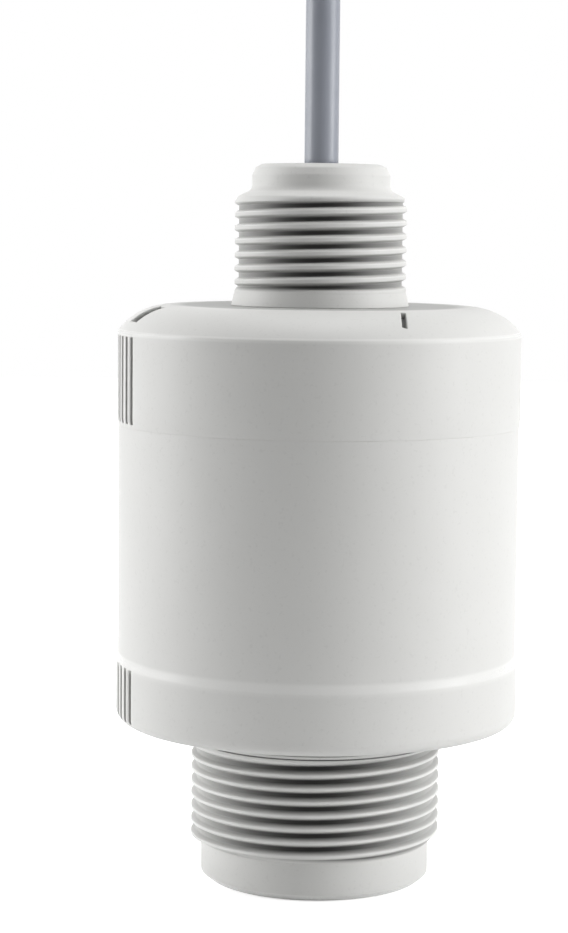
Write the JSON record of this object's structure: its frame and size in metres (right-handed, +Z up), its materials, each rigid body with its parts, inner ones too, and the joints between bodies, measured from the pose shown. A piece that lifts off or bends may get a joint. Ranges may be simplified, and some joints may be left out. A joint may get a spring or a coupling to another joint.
{
  "type": "radar level transmitter",
  "caption": "Sealed radar level transmitter with threaded antenna and neck, round body and five-core cable.",
  "frame": {"origin": "middle of the flat lower end of the antenna, which it stands on", "axes": "+Z up the body axis to the cable, -Y to the front of the label band, +X to its right"},
  "size_m": [0.088, 0.2522, 0.1992],
  "materials": {
    "housing_plastic": "satin",
    "seal_rubber": "matt",
    "plated_steel": "satin",
    "turned_aluminium": "turned",
    "lens_plastic": "satin",
    "circuit_board": "satin",
    "black_component": "matt",
    "terminal_green": "satin",
    "transformer_tape": "satin",
    "capacitor_sleeve": "gloss",
    "cable_sheath": "satin",
    "red_insulation": "satin",
    "black_insulation": "satin",
    "green_insulation": "satin",
    "yellow_insulation": "satin",
    "blue_insulation": "satin",
    "tie_nylon": "satin",
    "tinned_copper": "bright"
  },
  "bodies": {
    "root": {"antenna_body": "housing_plastic", "main_housing": "housing_plastic", "top_cover": "housing_plastic", "cable_neck": "housing_plastic", "antenna_seal": "seal_rubber", "lock_ring": "plated_steel", "cover_seal": "seal_rubber", "neck_seal": "seal_rubber", "neck_nut": "plated_steel", "cable_seal": "seal_rubber", "cable_washer": "plated_steel", "clamp_screw": "plated_steel", "cable_entry": "cable_sheath", "antenna_lens": "lens_plastic", "antenna_horn": "turned_aluminium", "horn_screws": "plated_steel", "radar_board": "circuit_board", "radar_chip": "black_component", "shield_can": "plated_steel", "board_spacers": "plated_steel", "main_board": "circuit_board", "board_screws": "plated_steel", "board_link": "black_component", "terminal_block": "terminal_green", "terminal_screws": "plated_steel", "processor_chip": "black_component", "isolation_transformer": "transformer_tape", "filter_capacitors": "capacitor_sleeve", "power_inductor": "black_component", "red_core": "red_insulation", "black_core": "black_insulation", "green_core": "green_insulation", "yellow_core": "yellow_insulation", "blue_core": "blue_insulation", "cable_run": "cable_sheath", "cable_coil": "cable_sheath", "cable_tail": "cable_sheath", "cable_tie": "tie_nylon", "red_end": "red_insulation", "black_end": "black_insulation", "green_end": "green_insulation", "yellow_end": "yellow_insulation", "blue_end": "blue_insulation", "core_tips": "tinned_copper"}
  },
  "joints": []
}
